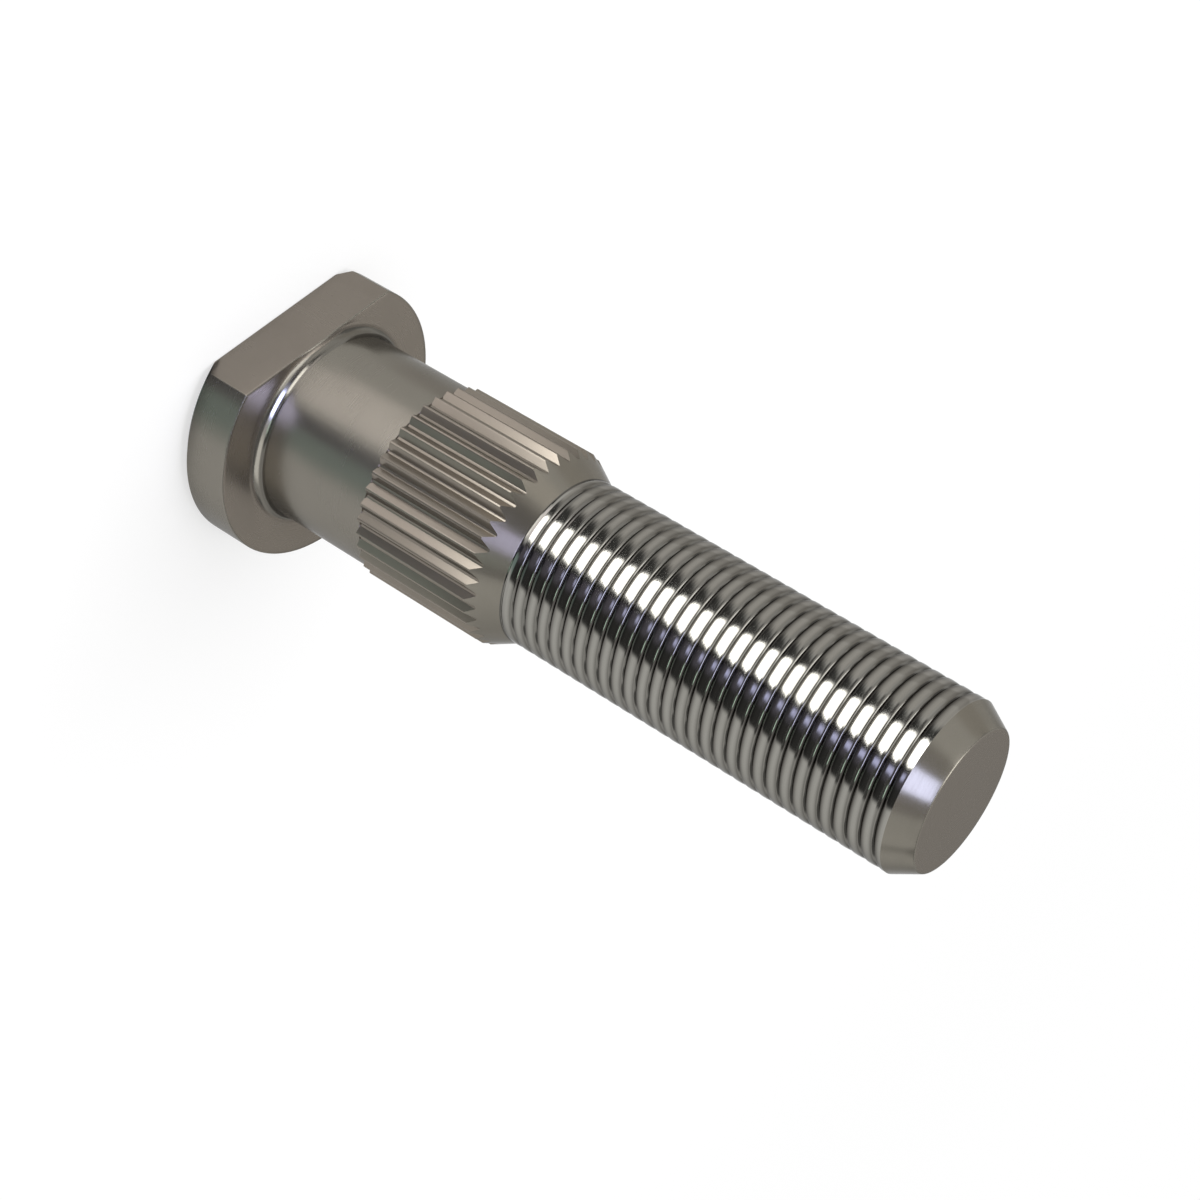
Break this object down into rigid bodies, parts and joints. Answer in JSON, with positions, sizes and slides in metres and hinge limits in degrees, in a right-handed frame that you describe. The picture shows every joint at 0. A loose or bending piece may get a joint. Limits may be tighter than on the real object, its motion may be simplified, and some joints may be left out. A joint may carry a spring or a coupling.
{
  "type": "wheel bolt",
  "caption": "Press-in steel wheel bolt: round head clipped flat on one side, plain shank, serrated collar and a long fine-pitch thread with a chamfered tip.",
  "frame": {"origin": "middle of the head's flat back face, on the bolt's axis", "axes": "+Z along the bolt from the head to the tip, -Y out of the clipped side of the head"},
  "size_m": [0.03, 0.026, 0.084],
  "materials": {
    "steel": "satin forged and turned steel, brighter and smoother on the rolled thread"
  },
  "bodies": {
    "root": {"wheel_bolt": "steel"}
  },
  "joints": []
}
